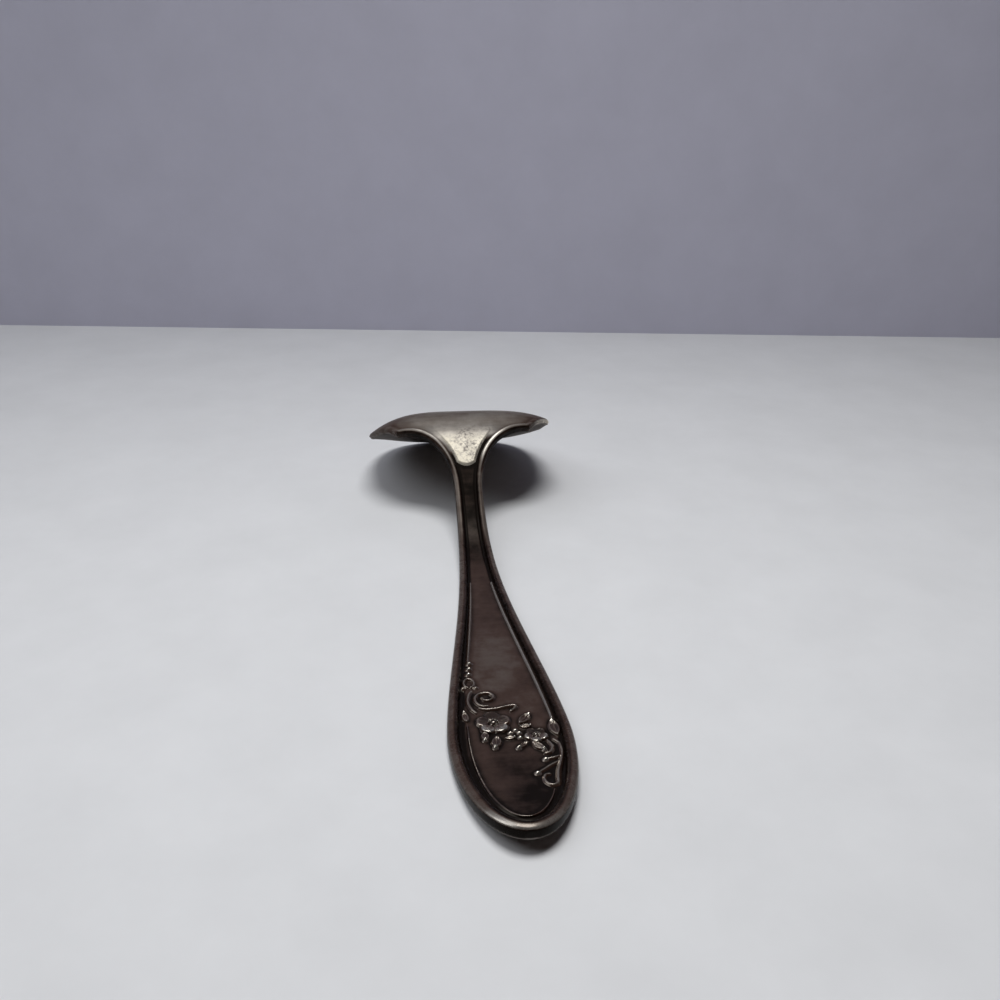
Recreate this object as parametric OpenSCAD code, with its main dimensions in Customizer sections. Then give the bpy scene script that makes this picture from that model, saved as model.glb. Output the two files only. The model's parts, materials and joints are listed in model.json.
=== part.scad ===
// Jelly server of struck, plated metal, lying face down: the handle points to -Y, the blade to +Y.
// The table is the plane z = 0 and the origin is the middle of the server's footprint.
// Every feature is laid on one curved upper face. A place on it is (x, s): x across from the middle,
// s along from the handle's tip. A height n is measured square to that face.

/* [Handle] */
// From the handle's tip to the narrowest part of the stem
handle_len = 97; // [80:1:115]
// Width of the handle at its widest
handle_w = 20.4; // [16:0.2:25]
// From the tip to the widest part
swell_len = 23; // [18:0.5:28]
// Width of the blunt end of the tip
tip_w = 2.4; // [1.6:0.2:5]
// How quickly the handle narrows behind its widest part
taper = 0.75; // [0.6:0.05:1]
// Thickness of the handle's plate
handle_t = 1.5; // [1.1:0.1:2.2]
// From the tip to the point that touches the table
rest_len = 25; // [20:1:32]
// How far the tip lifts off the table
tip_lift = 2.2; // [1:0.1:3.4]

/* [Stem and neck] */
// Width of the stem at its narrowest
stem_w = 6.2; // [5:0.1:8]
// Thickness of the stem's plate
stem_t = 1.9; // [1.4:0.1:2.6]
// From the tip to where the stem's bar ends and the handle's field begins
stem_from = 71; // [64:1:76]
// From the narrowest part of the stem to the shoulders
neck_len = 15; // [12:0.5:20]
// Thickness of the plate at the shoulders
neck_t = 1.7; // [1.3:0.1:2.4]
// How square the flare into the shoulders is
flare_power = 2.5; // [2:0.1:3]
// How late the stem rises towards the blade
rise_power = 8; // [6:1:10]

/* [Blade] */
// From the shoulders to the front edge
blade_len = 38; // [30:1:48]
// Width of the blade at its widest
blade_w = 44.4; // [36:0.4:52]
// From one shoulder's corner to the other
shoulder_w = 31; // [25:0.5:35]
// From the shoulders to the highest line of the hood
crest_len = 4.5; // [3.5:0.5:8]
// From the shoulders to the widest line of the blade
widest_len = 12.5; // [9:0.5:16]
// Height of the hood above the table
crest_h = 21; // [16:0.5:26]
// How far the hood drops from its middle to its left end
left_drop = 6.2; // [3:0.2:9]
// How far it drops to its right end
right_drop = 3.4; // [2:0.2:8]
// How late the hood drops towards its ends
side_power = 3.6; // [2.4:0.2:4.6]
// How softly the hood turns over into the blade
crest_round = 0.2; // [0.15:0.05:0.5]
// How square the front edge is
front_power = 2.8; // [2.2:0.2:4]
// Length of the straight middle of the front edge
front_w = 8; // [5:1:16]
// Thickness of the blade under the hood
blade_t = 1.3; // [1:0.1:1.9]
// Thickness of the blade at its front edge
edge_t = 0.9; // [0.6:0.1:1.2]

/* [Border] */
// Width of the rounded border on the handle
border_w = 2; // [1.6:0.1:2.6]
// Height of that border above the plate
border_h = 0.8; // [0.4:0.1:1.2]
// Width of the border's ridges on the stem
ridge_w = 1.4; // [1:0.1:1.8]
// Height of those ridges above the plate
ridge_h = 0.6; // [0.3:0.1:0.9]
// Height at which the ridges end, at the blade's corners
ridge_end_h = 0.25; // [0.15:0.05:0.5]
// From the border to the start of each fine raised line, on the stem
thread_gap_stem = 0.3; // [0.2:0.1:0.5]
// From the border to the fine raised line, on the left and round the handle's end
thread_gap = 1; // [0.6:0.1:1.6]
// From the border to the fine raised line, on the right
right_gap = 0.5; // [0.3:0.1:1]
// Width of the fine raised line
thread_w = 0.5; // [0.3:0.05:0.7]
// Height of the fine raised line
thread_h = 0.3; // [0.15:0.05:0.5]

/* [Heel] */
// From the narrowest part of the stem to the tongue's round end
heel_from = 6; // [4:0.5:8]
// From the tongue's round end to its upper end, along the edge
heel_len = 7.4; // [6:0.2:8]
// Height of the tongue at its round end
heel_h = 0.4; // [0.2:0.05:0.7]
// Height of the tongue where it runs out on the blade
heel_end_h = 0.08; // [0.06:0.02:0.16]
// Clearance between the tongue and the ridges beside it
heel_gap = 0.4; // [0.2:0.1:0.6]

/* [Spray] */
// From the widest part of the handle to the middle of the spray
spray_ahead = 2.4; // [0:0.2:4]
// Clearance between the spray and the border
spray_gap = 0.5; // [0.3:0.1:1.5]
// Petals on each blossom
petals = 5; // [4:1:7]
// Height of the blossoms
blossom_h = 0.75; // [0.4:0.05:1]
// Height of a leaf
leaf_h = 0.5; // [0.3:0.05:0.8]
// Width of a scroll's strand
strand_w = 0.55; // [0.35:0.05:0.65]
// Height of a scroll's strand
strand_h = 0.45; // [0.25:0.05:0.7]
// Radius of each bead below the left line
bead_r = 0.55; // [0.35:0.05:0.65]
// From one bead to the next
bead_pitch = 1.6; // [1.4:0.1:2]
// Number of beads
bead_count = 3; // [1:1:4]
// Clearance at each end of the row of beads
bead_gap = 0.3; // [0.2:0.1:0.6]
// Radius of the small ring below the beads
ring_r = 1; // [0.8:0.05:1.2]

/* [Hidden] */

// Stations along the server, from the handle's tip
waist_s = handle_len;
shoulder_s = waist_s + neck_len;
crest_s = shoulder_s + crest_len;
widest_s = shoulder_s + widest_len;
length = shoulder_s + blade_len;

// Gap that keeps a raised feature clear of the facets under it
seat = 0.03;
// Depth by which the touching faces are worn flat
worn = 0.05;
// Spacing for slopes taken by difference
delta = 0.05;
// Share of the flare's curve that is used before the shoulder's corner
flare_share = 0.97;

rest_h = handle_t - worn;
// The front edge's slope, and the height at which its lower side touches the table
turn_over = sqrt(1 + crest_round * crest_round);
front_slope = crest_h / (length - crest_s) / turn_over / (turn_over - crest_round);
front_h = edge_t * cos(atan(front_slope)) - worn;

silver = [0.62, 0.60, 0.57];
worn_silver = [0.78, 0.74, 0.64];
tarnish = [0.30, 0.27, 0.27];
relief = [0.48, 0.45, 0.43];

// The upper face

function rising(s) =
    let (u = min(1, max(0, (s - rest_len) / (crest_s - rest_len))))
    (crest_h - rest_h) * pow(u, rise_power) * (rise_power + 1 - rise_power * u);

function falling(s) =
    let (v = max(0, (s - crest_s) / (length - crest_s)), e = crest_round)
    (crest_h - front_h) * (sqrt(v * v + e * e) - e) / (turn_over - e);

function spine(s) =
    rest_h + tip_lift * pow(max(0, rest_len - s) / rest_len, 2) + rising(s) - falling(s);

function smooth(t) = let (c = min(1, max(0, t))) c * c * (3 - 2 * c);

function dropping(x, s) =
    let (
        drop = x < 0 ? left_drop : right_drop,
        fade = (spine(max(s, crest_s)) - front_h) / (crest_h - front_h)
    )
    drop * smooth((s - waist_s) / neck_len) * max(0, fade) * pow(abs(2 * x / blade_w), side_power);

function height(x, s) = spine(s) - dropping(x, s);

function upright(x, s) =
    let (
        dx = (height(x + delta, s) - height(x - delta, s)) / (2 * delta),
        ds = (height(x, s + delta) - height(x, s - delta)) / (2 * delta)
    )
    [-dx, -ds, 1] / norm([dx, ds, 1]);

function at(x, s, n) = [x, s - length / 2, height(x, s)] + n * upright(x, s);

function thickness(s) = lookup(s, [
    [0, handle_t], [stem_from, handle_t], [waist_s, stem_t], [shoulder_s, neck_t],
    [widest_s, blade_t], [length, edge_t]
]);

function under(x, s) =
    let (p = at(x, s, -thickness(s)))
    [p.x, max(-length / 2, p.y), max(0, p.z)];

// The outline: half the width at each station

function half_end(s) =
    let (cut = 1 - pow(tip_w / handle_w, 2))
    handle_w / 2 * sqrt(1 - cut * pow(1 - s / swell_len, 2));

function half_taper(s) =
    let (t = pow((s - swell_len) / (waist_s - swell_len), taper))
    stem_w / 2 + (handle_w - stem_w) / 4 * (1 + cos(180 * t));

function flare(u) = 1 - pow(1 - pow(flare_share * u, flare_power), 1 / flare_power);

function half_flare(s) =
    stem_w / 2 + (shoulder_w - stem_w) / 2 * flare((s - waist_s) / neck_len) / flare(1);

function half_side(s) =
    shoulder_w / 2 + (blade_w - shoulder_w) / 2 * sin(90 * (s - shoulder_s) / widest_len);

function half_front(s) =
    let (v = (s - widest_s) / (length - widest_s), cut = 1 - pow(front_w / blade_w, front_power))
    blade_w / 2 * pow(1 - cut * pow(v, front_power), 1 / front_power);

function half(s) =
    s < swell_len ? half_end(s)
    : s < waist_s ? half_taper(s)
    : s < shoulder_s ? half_flare(s)
    : s < widest_s ? half_side(s)
    : half_front(s);

// Stations of the cross-sections: even between two ends, or crowded towards one of them

function evenly(from, to, steps) = [for (i = [0:steps]) from + (to - from) * i / steps];

function crowd_first(from, to, steps) = [for (i = [0:steps]) from + (to - from) * (1 - cos(90 * i / steps))];

function crowd_last(from, to, steps) = [for (i = [0:steps]) from + (to - from) * sin(90 * i / steps)];

end_stations = crowd_first(0, swell_len, 14);
taper_stations = evenly(swell_len, stem_from, 16);
stem_stations = evenly(stem_from, waist_s, 10);
neck_stations = crowd_last(waist_s, shoulder_s, 11);
side_stations = evenly(shoulder_s, widest_s, 8);
front_stations = crowd_last(widest_s, length, 14);

function tail(list) = [for (i = [1:len(list) - 1]) list[i]];

handle_stations = concat(end_stations, tail(taper_stations));
blade_stations = concat(side_stations, tail(front_stations));

// Lofts: each ring is a list of points, and the rings are joined in order

function joined(list) = [for (part = list) each part];

module loft(rings, caps) {
    n = len(rings[0]);
    last = (len(rings) - 1) * n;
    sides = [
        for (r = [0:len(rings) - 2], i = [0:n - 1])
            let (a = r * n + i, b = r * n + (i + 1) % n)
            [[a, b + n, b], [a, a + n, b + n]]
    ];
    far_caps = [for (f = caps) [for (i = [len(f) - 1:-1:0]) f[i] + last]];
    polyhedron(joined(rings), concat(joined(sides), caps, far_caps), convexity = 6);
}

// A plate that follows the upper face: one flat cross-section at each station

across = [-1, -0.94, -0.84, -0.7, -0.5, -0.26, 0, 0.26, 0.5, 0.7, 0.84, 0.94, 1];

function plate_ring(s) =
    let (w = half(s), n = len(across))
    concat(
        [for (c = across) at(c * w, s, 0)],
        [for (i = [n - 1:-1:0]) under(across[i] * w, s)]
    );

function strip_caps(n) = joined([
    for (i = [0:n - 2]) [[i, i + 1, 2 * n - 1 - i], [i + 1, 2 * n - 2 - i, 2 * n - 1 - i]]
]);

module plate(stations) {
    loft([for (s = stations) plate_ring(s)], strip_caps(len(across)));
}

// A rounded strip along a path on the face: each profile point is [offset to the right, height]

function heading(path, i) =
    let (d = path[min(i + 1, len(path) - 1)] - path[max(i - 1, 0)])
    d / norm(d);

function strip_ring(p, d, profile) =
    [for (q = profile) at(p.x + q.x * d.y, p.y - q.x * d.x, q.y)];

function fan_caps(n) = [for (i = [1:n - 2]) [0, i, i + 1]];

// Half-round profile, from offset a to offset b: shares of its width and of its height
round_shares = [[0, 0], [0.04, 0.45], [0.2, 0.82], [0.5, 1], [0.8, 0.82], [0.96, 0.45], [1, 0]];

function half_round(a, b, h) = [for (p = round_shares) [a + p.x * (b - a), max(seat, p.y * h)]];

module strip(path, profiles) {
    n = len(profiles[0]);
    loft([for (i = [0:len(path) - 1]) strip_ring(path[i], heading(path, i), profiles[i])], fan_caps(n));
}

module strand(path) {
    strip(path, [for (p = path) half_round(-strand_w / 2, strand_w / 2, strand_h)]);
}

// A smooth line through the points, in so many steps from each to the next
function smooth_line(p, steps) =
    let (last = len(p) - 1)
    [
        for (i = [0:last - 1], k = [0:(i < last - 1 ? steps - 1 : steps)])
            let (
                t = k / steps,
                a = i > 0 ? p[i - 1] : 2 * p[0] - p[1],
                b = p[i],
                c = p[i + 1],
                d = i < last - 1 ? p[i + 2] : 2 * p[last] - p[last - 1]
            )
            b + t * (c - a + t * (2 * a - 5 * b + 4 * c - d + t * (3 * b - a - 3 * c + d))) / 2
    ];

// The edge of one side, as a path from the tip towards the blade

function edge_path(stations) = [for (s = stations) [half(s), s]];

function mirrored(path) = [for (i = [len(path) - 1:-1:0]) [-path[i].x, path[i].y]];

whole_edge = edge_path(concat(handle_stations, tail(stem_stations), tail(neck_stations)));
whole_path = concat(mirrored(whole_edge), whole_edge);

function ridge_width(s) = lookup(s, [
    [0, border_w], [stem_from, (border_w + ridge_w) / 2], [waist_s, ridge_w]
]);

function ridge_height(s) = lookup(s, [
    [0, border_h], [stem_from, (border_h + ridge_h) / 2], [waist_s, ridge_h],
    [(waist_s + shoulder_s) / 2, ridge_h], [shoulder_s, ridge_end_h]
]);

// Rings of the edge's rounded border, one for each point of the whole path
edge_rings = [
    for (i = [0:len(whole_path) - 1])
        let (p = whole_path[i])
        strip_ring(p, heading(whole_path, i), half_round(-ridge_width(p.y), 0, ridge_height(p.y)))
];

module edge_strip(from, to) {
    loft([for (i = [from:to]) edge_rings[i]], fan_caps(len(edge_rings[0])));
}

// Places of the handle's and the stem's ends in the whole path
tip_i = len(whole_edge) - 1;
handle_n = len(handle_stations);
stem_n = handle_n + len(stem_stations) - 1;
neck_n = len(whole_edge);

// A place inside the edge, at distance d square to it
function inset(s, d) =
    let (slope = (half(s + delta) - half(s - delta)) / (2 * delta), run = sqrt(1 + slope * slope))
    [half(s) - d / run, s + d * slope / run];

// The fine line's distance from the edge, where its gap to the border at the handle's widest part is given
function thread_in(s, gap) =
    ridge_width(s) + thread_w / 2 + lookup(s, [[swell_len, gap], [stem_from, thread_gap_stem]]);

function thread_path(from, to, steps, gap) = [for (s = evenly(from, to, steps)) inset(s, thread_in(s, gap))];

// The fine line's turn round the handle's end: a smaller ellipse inside the outline
function thread_turn(from, to, steps) =
    let (d = thread_in(swell_len, thread_gap))
    [
        for (a = evenly(from, to, steps))
            [(handle_w / 2 - d) * sin(a), swell_len - (swell_len - d) * cos(a)]
    ];

module thread(path) {
    strip(path, [for (p = path) half_round(-thread_w / 2, thread_w / 2, thread_h)]);
}

// A domed pad on the face: a round one has point = 1, a leaf with sharp ends has more. Each step of
// the dome is [share of its width, share of its height].

pad_sides = 14;
pad_steps = [[1, 0], [0.86, 0.6], [0.5, 0.94]];
leaf_point = 1.5;

function pad_ring(x, s, along, wide, turn, rise, point, step) = [
    for (i = [0:pad_sides - 1])
        let (
            a = 360 * i / pad_sides,
            u = step[0] * along / 2 * cos(a),
            v = step[0] * wide / 2 * sign(sin(a)) * pow(abs(sin(a)), point)
        )
        at(x + u * cos(turn) - v * sin(turn), s + u * sin(turn) + v * cos(turn), seat + step[1] * rise)
];

module pad(x, s, along, wide, turn, rise, point = 1) {
    rings = [for (step = pad_steps) pad_ring(x, s, along, wide, turn, rise, point, step)];
    n = pad_sides;
    top = len(pad_steps) * n;
    sides = [
        for (r = [0:len(rings) - 2], i = [0:n - 1])
            let (a = r * n + i, b = r * n + (i + 1) % n)
            [[a, b + n, b], [a, a + n, b + n]]
    ];
    crown = [for (i = [0:n - 1]) [top, top - n + (i + 1) % n, top - n + i]];
    base = [for (i = [1:n - 2]) [0, i, i + 1]];
    polyhedron(
        concat(joined(rings), [at(x, s, seat + rise)]),
        concat(joined(sides), crown, base),
        convexity = 3
    );
}

module dot(p, r, rise) {
    pad(p.x, p.y, 2 * r, 2 * r, 0, rise);
}

// The spray is drawn 15.4 units wide and scaled to the handle's field. A place is [across, along] from
// its middle, and lengths are in the same units.
drawn_w = 15.4;
berry_r = 0.38;
knob_r = 0.4;
knob_rise = 0.1;
// From the middle of the spray to the ring, and to the fine lines' ends on the left and the right
ring_ahead = 12.7;
left_ahead = 1.1;
right_ahead = 2;
unit = (handle_w - 2 * border_w - 2 * spray_gap) / drawn_w;
spray_s = swell_len + spray_ahead;

function spray(p) = [p.x * unit, spray_s + p.y * unit];

// A ring of petals round a middle: how far the middle reaches, how much of its room each piece fills,
// and how high a petal stands beside the middle
centre_share = 0.3;
centre_fill = 0.86;
petal_fill = 0.94;
petal_rise = 0.85;

module blossom(middle, reach, turn) {
    centre_r = centre_share * reach;
    petal_len = reach - centre_r;
    petal_r = centre_r + petal_len / 2;
    petal_w = 2 * petal_fill * petal_r * sin(180 / petals);
    spray_dot(middle, centre_fill * centre_r, blossom_h);
    for (i = [0:petals - 1]) {
        a = turn + 360 * i / petals;
        p = spray(middle + petal_r * [cos(a), sin(a)]);
        pad(p.x, p.y, petal_fill * petal_len * unit, petal_w * unit, a, petal_rise * blossom_h);
    }
}

module spray_dot(p, r, rise) {
    dot(spray(p), r * unit, rise);
}

module leaf(p, along, wide, turn) {
    q = spray(p);
    pad(q.x, q.y, along * unit, wide * unit, turn, leaf_h, leaf_point);
}

// A curved stalk through the given places
stalk_steps = 4;

module stalk(places) {
    strand([for (p = smooth_line(places, stalk_steps)) spray(p)]);
}

// The beads and the ring stand in the fine line's own track, above the spray
ring_s = spray_s + ring_ahead * unit;
bead_s = ring_s + ring_r + strand_w / 2 + bead_gap + bead_r;
bead_end_s = bead_s + (bead_count - 1) * bead_pitch + bead_r + bead_gap;

function in_track(s) = let (p = inset(s, thread_in(s, thread_gap))) [-p.x, p.y];

module handle() {
    color(tarnish) plate(handle_stations);
}

module stem() {
    color(tarnish) plate(stem_stations);
}

module neck() {
    color(silver) plate(neck_stations);
}

module blade() {
    color(silver) plate(blade_stations);
}

// The tongue's shape: the share of its width at which it starts, how fast it widens from there, and how
// far and how late its upper face falls towards its sides
heel_start = 0.12;
heel_spread = 3;
heel_fall = 0.8;
heel_fall_power = 6;

module heel() {
    from = waist_s + heel_from;
    rings = [
        for (s = crowd_first(from, from + heel_len, 10))
            let (
                t = (s - from) / heel_len,
                p = inset(s, ridge_w + heel_gap),
                w = p.x * sqrt(1 - pow(1 - min(1, heel_start + heel_spread * t), 2)),
                rise = heel_h + (heel_end_h - heel_h) * t
            )
            concat(
                [for (c = across) at(c * w, p.y, seat + rise * (1 - heel_fall * pow(c, heel_fall_power)))],
                [for (i = [len(across) - 1:-1:0]) at(across[i] * w, p.y, seat)]
            )
    ];
    color(worn_silver) loft(rings, strip_caps(len(across)));
}

module handle_border() {
    color(silver) edge_strip(tip_i - handle_n + 1, tip_i + handle_n);
}

module stem_ridges() {
    color(silver) {
        edge_strip(tip_i - stem_n + 1, tip_i - handle_n + 1);
        edge_strip(tip_i + handle_n, tip_i + stem_n);
    }
}

module shoulder_ridges() {
    color(worn_silver) {
        edge_strip(tip_i - neck_n + 1, tip_i - stem_n + 1);
        edge_strip(tip_i + stem_n, tip_i + neck_n);
    }
}

module thread_left() {
    color(relief) thread(mirrored(thread_path(bead_end_s, stem_from, 14, thread_gap)));
}

module thread_right() {
    color(relief) thread(thread_path(spray_s + right_ahead * unit, stem_from, 20, right_gap));
}

// Angles of the turn, from the tip: the first point on each side, the last on the left and on the right
turn_first = 4;
turn_left = 86;
turn_right = 46;

module thread_end() {
    run = thread_path(swell_len, spray_s + left_ahead * unit, 2, thread_gap);
    left = concat(thread_turn(turn_first, turn_left, 18), run);
    right = thread_turn(turn_first, turn_right, 8);
    color(relief) thread(concat(mirrored(left), right));
}

module beads() {
    color(relief)
        for (i = [0:bead_count - 1]) {
            dot(in_track(bead_s + i * bead_pitch), bead_r, bead_r);
        }
}

// The bow: an open ring, set in from the track, with a loop on each side below it
ring_in = 0.4;
ring_opening = 30;
loop_side = 1.05;
loop_below = 1.35;

module bow() {
    middle = in_track(ring_s) + [ring_in, 0];
    color(relief) {
        strand([for (a = evenly(ring_opening / 2 - 90, 270 - ring_opening / 2, 18)) middle + ring_r * [cos(a), sin(a)]]);
        for (side = [-1, 1]) {
            dot(middle + [side * loop_side, -loop_below] * ring_r, knob_r, strand_h);
        }
    }
}

module large_blossom() {
    color(relief) blossom([-2.4, 1.6], 2.65, 20);
}

module small_blossom() {
    color(relief) blossom([4.1, -2.4], 1.85, 50);
}

module berries() {
    color(worn_silver) {
        spray_dot([0.05, -1.5], berry_r, blossom_h);
        spray_dot([0.95, -0.85], berry_r, blossom_h);
        spray_dot([1.5, -1.6], berry_r, blossom_h);
        spray_dot([1.5, -2.75], berry_r, blossom_h);
    }
}

module upper_leaves() {
    color(relief) {
        leaf([2.8, 1.9], 3.4, 1.7, 49);
        leaf([2.7, -0.05], 2.2, 1, 3);
        leaf([7.2, -0.8], 4, 1.5, 97);
        leaf([-6.85, 3.2], 3, 1.2, 97);
    }
}

module lower_leaves() {
    color(relief) {
        leaf([-4.1, -1.85], 1.9, 1.3, -93);
        leaf([-2.45, -3.6], 3.2, 1.75, -103);
        leaf([-0.15, -2.75], 2, 0.8, 2);
        leaf([1.7, -4.7], 2.2, 1, -142);
        leaf([3.95, -5.2], 2.4, 1.2, -48);
    }
}

// A volute, the arc beside it and the long scroll over the large blossom
module upper_scrolls() {
    color(relief) {
        stalk([
            [-3.6, 8.1], [-3.3, 7.45], [-2.7, 7.2], [-2, 7.55], [-1.65, 8.3], [-2.1, 9.1], [-3, 9.35],
            [-4.1, 9.05], [-4.75, 8.2], [-4.8, 7.2], [-4.3, 6.2], [-3.6, 5.7], [-2.8, 5.8]
        ]);
        stalk([[-5.2, 10], [-5.8, 8.9], [-6.1, 7], [-5.65, 5.2], [-5, 4.1]]);
        stalk([
            [-4.35, 5.3], [-3.6, 4.95], [-2.3, 4.85], [-0.8, 5.1], [0.6, 5.5], [1.8, 5.5], [1.5, 4.7], [0.8, 4.1]
        ]);
    }
}

// A hook under the small blossom, and a vine that ends in a curl, with two knobbed tendrils
module lower_scrolls() {
    knob_h = strand_h + knob_rise;
    color(relief) {
        stalk([[5.7, -3.9], [6.25, -5.4], [5.75, -6.8], [4.8, -7.1]]);
        stalk([
            [6.7, -3.7], [7.5, -4.9], [7.55, -7], [6.95, -9.2], [6.2, -11.4], [5.85, -13.2], [5.6, -14.5],
            [4.6, -14.9], [3.75, -13.8], [3.95, -12.5], [4.75, -12.2]
        ]);
        stalk([[6.55, -8.15], [5.9, -8.35], [5.3, -8.5]]);
        spray_dot([4.7, -8.55], knob_r, knob_h);
        stalk([[6.15, -9.6], [5.3, -10.1], [4.4, -10.8], [3.5, -11.4]]);
        spray_dot([2.95, -11.8], knob_r, knob_h);
    }
}

handle();
stem();
neck();
blade();
heel();
handle_border();
stem_ridges();
shoulder_ridges();
thread_left();
thread_right();
thread_end();
beads();
bow();
large_blossom();
small_blossom();
berries();
upper_leaves();
lower_leaves();
upper_scrolls();
lower_scrolls();
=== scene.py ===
import json
import math

import bmesh
import bpy
import numpy as np
from mathutils import Matrix, Vector, kdtree


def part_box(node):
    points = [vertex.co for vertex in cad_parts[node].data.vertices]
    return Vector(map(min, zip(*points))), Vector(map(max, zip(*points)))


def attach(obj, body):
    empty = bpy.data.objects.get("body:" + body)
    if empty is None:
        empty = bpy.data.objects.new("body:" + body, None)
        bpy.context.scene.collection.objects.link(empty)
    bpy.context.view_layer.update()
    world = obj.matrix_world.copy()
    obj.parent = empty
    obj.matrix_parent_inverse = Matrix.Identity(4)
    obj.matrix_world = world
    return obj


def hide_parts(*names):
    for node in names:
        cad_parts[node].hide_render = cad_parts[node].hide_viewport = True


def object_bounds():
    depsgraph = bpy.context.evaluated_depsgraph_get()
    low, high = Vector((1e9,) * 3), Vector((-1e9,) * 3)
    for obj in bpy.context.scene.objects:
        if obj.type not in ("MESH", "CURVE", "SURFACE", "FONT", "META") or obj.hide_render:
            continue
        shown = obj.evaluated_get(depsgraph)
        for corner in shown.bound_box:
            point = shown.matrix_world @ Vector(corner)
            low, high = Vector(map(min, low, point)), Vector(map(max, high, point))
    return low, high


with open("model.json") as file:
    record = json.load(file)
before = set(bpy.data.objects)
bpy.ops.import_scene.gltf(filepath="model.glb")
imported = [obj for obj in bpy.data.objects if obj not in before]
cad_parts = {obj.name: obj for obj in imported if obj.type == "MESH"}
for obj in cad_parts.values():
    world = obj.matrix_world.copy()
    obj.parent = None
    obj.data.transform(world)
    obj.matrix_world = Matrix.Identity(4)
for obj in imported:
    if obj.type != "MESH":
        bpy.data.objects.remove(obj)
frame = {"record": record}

cad_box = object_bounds()

# Sizes are in millimetres and meshes in metres. A place on the server's upper face is (x, s): x across
# from the middle, s along from the handle's tip. A height n is measured square to that face.
MM = 0.001

# Driving sizes, as in the solids

length, blade_w, crest_h = [(cad_box[1] - cad_box[0])[axis] / MM for axis in (1, 0, 2)]

# Handle
handle_len = 97  # from its tip to the narrowest part of the stem
handle_w = 20.4
swell_len = 23  # from its tip to its widest part
taper = 0.75  # how quickly it narrows behind that
handle_t = 1.5
rest_len = 25  # from its tip to where it touches the table
tip_lift = 2.2

# Stem and neck
stem_w = 6.2
stem_t = 1.9
stem_from = 71  # from the handle's tip to the end of its field
neck_len = 15
neck_t = 1.7
flare_power = 2.5  # how square the flare into the shoulders is
flare_share = 0.97  # how much of the flare's curve is used
rise_power = 8  # how late the stem rises

# Blade, with lengths from the shoulders
shoulder_w = 31
crest_len = 4.5
widest_len = 12.5
left_drop = 6.2  # from the hood's middle to its left end
right_drop = 3.4
side_power = 3.6  # how late it drops towards its ends
crest_round = 0.2  # how softly it turns over
front_power = 2.8  # how square the front edge is
front_w = 8
blade_t = 1.3
edge_t = 0.9
worn = 0.05  # how far the touching faces are worn flat

# Border, ridges and fine lines
border_w = 2
border_h = 0.8
ridge_w = 1.4
ridge_h = 0.6
thread_w = 0.5
thread_h = 0.3
thread_gap = 1  # from the border to the left line
right_gap = 0.5
thread_gap_stem = 0.3

# Spray
spray_ahead = 2.4  # from the handle's widest part to the spray's middle
blossom_h = 0.75
leaf_h = 0.5
strand_w = 0.55
strand_h = 0.45
berry_r = 0.38
knob_r = 0.4
bead_r = 0.55
bead_pitch = 1.6
bead_count = 3
bead_gap = 0.3
ring_r = 1

# Relief that is finer here than in the solids. The cove's place and half width are shares of the
# border's width.
end_gap = thread_gap + 0.3
cove_at = 1.22
cove_half = 0.3
cove_d = 0.14
tongue_gap = 6.2  # from the narrowest part of the stem to the tongue
tongue_round = 0.17
tongue_h = 0.42
tongue_fade = 8
groove_left = 0.4
groove_right = 0.5

# Stations from the handle's tip
waist_s = handle_len
shoulder_s = waist_s + neck_len
crest_s = shoulder_s + crest_len
widest_s = shoulder_s + widest_len
tongue_s = waist_s + tongue_gap
spray_s = swell_len + spray_ahead
ring_s = spray_s + 12.7

# Heights of the upper face where the server touches the table
rest_h = handle_t - worn
turn_over = math.hypot(1, crest_round)
front_slope = crest_h / (length - crest_s) / turn_over / (turn_over - crest_round)
front_h = edge_t * math.cos(math.atan(front_slope)) - worn


# The upper face

def ramp(t):
    """From 0 to 1 with level ends."""
    t = np.clip(t, 0, 1)
    return t * t * (3 - 2 * t)


def ease(v, start, end):
    """From 0 where v is at start to 1 where it is at end."""
    return ramp((v - start) / (end - start))


def blend(a, b, share):
    """From a at share 0 to b at share 1."""
    return a + (b - a) * share


def spine(s):
    """Height of the upper face's middle line over the table."""
    u = np.clip((s - rest_len) / (crest_s - rest_len), 0, 1)
    v = np.maximum(0, (s - crest_s) / (length - crest_s))
    rising = (crest_h - rest_h) * u**rise_power * (rise_power + 1 - rise_power * u)
    falling = (crest_h - front_h) * (np.hypot(v, crest_round) - crest_round) / (turn_over - crest_round)
    return rest_h + tip_lift * (np.maximum(0, rest_len - s) / rest_len) ** 2 + rising - falling


def face(x, s):
    """Height of the upper face over the table."""
    fade = np.maximum(0, (spine(np.maximum(s, crest_s)) - front_h) / (crest_h - front_h))
    reach = ramp((s - waist_s) / (shoulder_s - waist_s))
    drop = np.where(np.asarray(x) < 0, left_drop, right_drop)
    return spine(s) - drop * reach * fade * np.abs(2 * x / blade_w) ** side_power


def on_face(x, s, n):
    """Points in metres at height n over places (x, s), kept above the table and behind the tip."""
    x, s, n = np.broadcast_arrays(np.asarray(x, float), s, n)
    d = 0.05
    dx = (face(x + d, s) - face(x - d, s)) / (2 * d)
    ds = (face(x, s + d) - face(x, s - d)) / (2 * d)
    out = n / np.sqrt(1 + dx * dx + ds * ds)
    y = np.maximum(s - length / 2 - ds * out, -length / 2)
    z = np.maximum(face(x, s) + out, 0)
    return np.stack([x - dx * out, y, z], -1) * MM


def thickness(s):
    """Thickness of the plate at a station."""
    return np.interp(
        s,
        [0, stem_from, waist_s, shoulder_s, widest_s, length],
        [handle_t, handle_t, stem_t, neck_t, blade_t, edge_t],
    )


# The outline

def flare(u):
    """The neck's widening, from 0 at the stem."""
    return 1 - (1 - (flare_share * np.clip(u, 0, 1)) ** flare_power) ** (1 / flare_power)


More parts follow.
